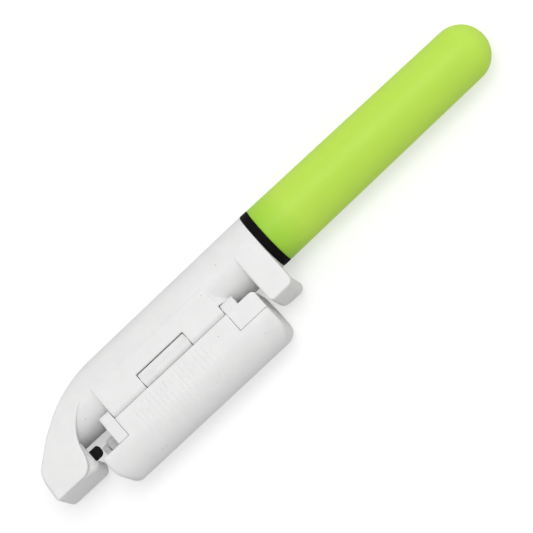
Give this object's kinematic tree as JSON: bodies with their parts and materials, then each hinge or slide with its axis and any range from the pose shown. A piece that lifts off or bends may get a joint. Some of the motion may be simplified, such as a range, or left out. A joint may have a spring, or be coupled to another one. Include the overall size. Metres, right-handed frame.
{
  "type": "clip-on fishing rod tip light",
  "caption": "Clip-on LED night light for a fishing rod tip: domed translucent tube on a clip body with two hooks and a sprung barrel clamp beside it.",
  "frame": {"origin": "middle of the bounding box seen from above, on the surface that the light lies on with its flat front up", "axes": "+X from the light towards the sprung clamp, +Y along the light towards its domed tip, +Z out of the flat front face"},
  "size_m": [0.0174, 0.0852, 0.009],
  "materials": {
    "white_plastic": "moulded, satin",
    "green_tube": "translucent fluorescent, satin",
    "black_rubber": "matt",
    "steel": "bright drawn",
    "cell_steel": "nickel plated",
    "brass": "plated",
    "plug_plastic": "moulded",
    "lamp_epoxy": "clear cast"
  },
  "bodies": {
    "holder": {"clip_body": "white_plastic", "hook_block": "white_plastic", "upper_hook_pad": "black_rubber", "lower_hook_pad": "black_rubber", "hinge_pin": "steel", "torsion_spring": "steel"},
    "clamp": {"clamp_lever": "white_plastic", "lever_cover": "white_plastic", "jaw_pad": "black_rubber"},
    "light": {"light_tube": "green_tube", "sealing_ring": "black_rubber", "light_plug": "plug_plastic", "plug_o_ring": "black_rubber", "led_lamp": "lamp_epoxy", "led_lead_pin": "steel", "led_lead_can": "steel", "pin_socket": "brass", "side_contact": "brass"},
    "battery": {"battery_can": "cell_steel", "battery_gasket": "black_rubber", "battery_pin": "cell_steel"}
  },
  "joints": [
    {"name": "clamp_hinge", "type": "hinge", "parent": "holder", "child": "clamp", "pos_m": [0.00022, -0.019, 0.0082], "axis": [0, -1, 0], "range_deg": [0, 40], "stiffness_Nm_per_rad": 0.02, "springref_deg": -34.38, "deforming": ["torsion_spring"]},
    {"name": "light_pull", "type": "slide", "parent": "holder", "child": "light", "axis": [0, 1, 0], "range_m": [0, 0.028]},
    {"name": "battery_pull", "type": "slide", "parent": "light", "child": "battery", "axis": [0, -1, 0], "range_m": [0, 0.0034]}
  ]
}
